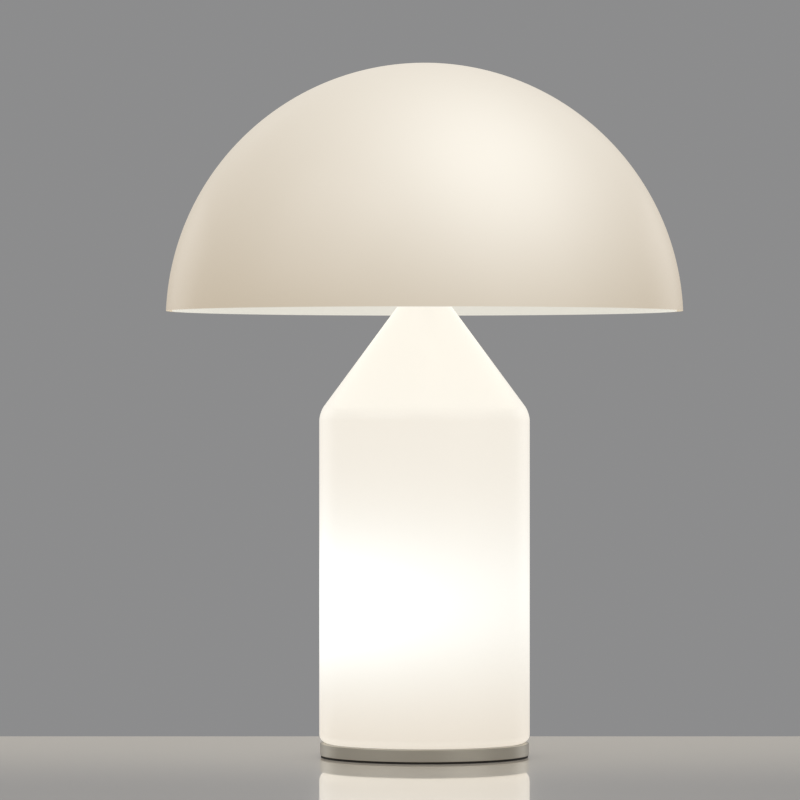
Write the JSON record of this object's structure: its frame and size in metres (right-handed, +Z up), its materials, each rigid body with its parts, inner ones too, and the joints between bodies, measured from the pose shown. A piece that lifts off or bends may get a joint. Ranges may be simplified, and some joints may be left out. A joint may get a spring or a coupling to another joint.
{
  "type": "mushroom table lamp",
  "caption": "Opal glass table lamp: a domed shade resting on padded arms over a glass cylinder and cone body on a steel base, with screw-in bulbs.",
  "frame": {"origin": "centre of the foot pad's underside, on the table", "axes": "+Z up along the tie rod, -Y towards the viewer in front of the lamp, +X to the viewer's right"},
  "size_m": [0.3792, 0.3792, 0.5098],
  "materials": {
    "opal_shade": "satin opal glass, lit",
    "opal_body": "satin opal glass, lit",
    "base_paint": "fine satin paint",
    "cover_steel": "satin paint on sheet steel",
    "foot_rubber": "matt",
    "clear_silicone": "milky silicone",
    "white_lacquer": "gloss lacquer",
    "nickel_steel": "satin nickel plate",
    "zinc_steel": "bright zinc plate",
    "socket_plastic": "moulded, fine grain",
    "socket_ceramic": "unglazed steatite",
    "brass": "bright brass",
    "terminal_plastic": "natural nylon",
    "bush_plastic": "moulded",
    "bulb_glass": "opal glass, lit",
    "bulb_metal": "rolled",
    "bulb_insulator_glass": "black glass",
    "solder": "soldered"
  },
  "bodies": {
    "root": {"arm_1": "nickel_steel", "arm_2": "nickel_steel", "arm_3": "nickel_steel", "arm_tip_1": "clear_silicone", "arm_tip_2": "clear_silicone", "arm_tip_3": "clear_silicone", "base_cover": "cover_steel", "base_disc": "base_paint", "body_gasket": "clear_silicone", "body_glass": "opal_body", "cap_nut": "nickel_steel", "centre_contact_a": "brass", "centre_contact_b": "brass", "centre_contact_c": "brass", "clamp_screws": "zinc_steel", "cluster_hub": "white_lacquer", "collar_nut": "nickel_steel", "cord_bush": "bush_plastic", "cord_clamp": "terminal_plastic", "cover_screws": "zinc_steel", "foot_pad": "foot_rubber", "hub_lid": "white_lacquer", "lamp_nipples": "nickel_steel", "lamp_post": "zinc_steel", "neck_collar": "white_lacquer", "neck_washer": "clear_silicone", "riser": "nickel_steel", "rod_nuts": "zinc_steel", "rod_washers": "zinc_steel", "socket_cap_a": "socket_plastic", "socket_cap_b": "socket_plastic", "socket_cap_c": "socket_plastic", "socket_core_a": "socket_ceramic", "socket_core_b": "socket_ceramic", "socket_core_c": "socket_ceramic", "socket_shell_a": "socket_plastic", "socket_shell_b": "socket_plastic", "socket_shell_c": "socket_plastic", "spider": "white_lacquer", "stem_tube": "nickel_steel", "terminal_block": "terminal_plastic", "terminal_screws": "brass", "thread_shell_a": "brass", "thread_shell_b": "brass", "thread_shell_c": "brass", "tie_rod": "zinc_steel"},
    "shade": {"shade_dome": "opal_shade"},
    "bulb_a_seat": {"solder_tip_a": "solder"},
    "bulb_a": {"bulb_insulator_a": "bulb_insulator_glass", "bulb_cap_a": "bulb_metal", "bulb_globe_a": "bulb_glass"},
    "bulb_b_seat": {"solder_tip_b": "solder"},
    "bulb_b": {"bulb_insulator_b": "bulb_insulator_glass", "bulb_cap_b": "bulb_metal", "bulb_globe_b": "bulb_glass"},
    "bulb_c_seat": {"solder_tip_c": "solder"},
    "bulb_c": {"bulb_insulator_c": "bulb_insulator_glass", "bulb_cap_c": "bulb_metal", "bulb_globe_c": "bulb_glass"}
  },
  "joints": [
    {"name": "shade_lift", "type": "slide", "parent": "root", "child": "shade", "axis": [0, 0, 1], "range_m": [0, 0.135]},
    {"name": "bulb_a_travel", "type": "slide", "parent": "root", "child": "bulb_a_seat", "axis": [0.2346, -0.8754, 0.4226], "range_m": [0, 0.0142]},
    {"name": "bulb_a_turn", "type": "hinge", "parent": "bulb_a_seat", "child": "bulb_a", "pos_m": [0.00815, -0.03043, 0.36738], "axis": [0.2346, -0.8754, 0.4226], "range_deg": [0, 1800]},
    {"name": "bulb_b_travel", "type": "slide", "parent": "root", "child": "bulb_b_seat", "axis": [-0.2346, 0.8754, 0.4226], "range_m": [0, 0.0142]},
    {"name": "bulb_b_turn", "type": "hinge", "parent": "bulb_b_seat", "child": "bulb_b", "pos_m": [-0.00815, 0.03043, 0.36738], "axis": [-0.2346, 0.8754, 0.4226], "range_deg": [0, 1800]},
    {"name": "bulb_c_travel", "type": "slide", "parent": "root", "child": "bulb_c_seat", "axis": [0, 0, 1], "range_m": [0, 0.0142]},
    {"name": "bulb_c_turn", "type": "hinge", "parent": "bulb_c_seat", "child": "bulb_c", "pos_m": [-0.03614, -0.01174, 0.0565], "axis": [0, 0, 1], "range_deg": [0, 1800]}
  ],
  "couplings": [
    {"joint": "bulb_a_travel", "follows": "bulb_a_turn", "m_per_rad": 0.00044882},
    {"joint": "bulb_b_travel", "follows": "bulb_b_turn", "m_per_rad": 0.00044882},
    {"joint": "bulb_c_travel", "follows": "bulb_c_turn", "m_per_rad": 0.00044882}
  ]
}
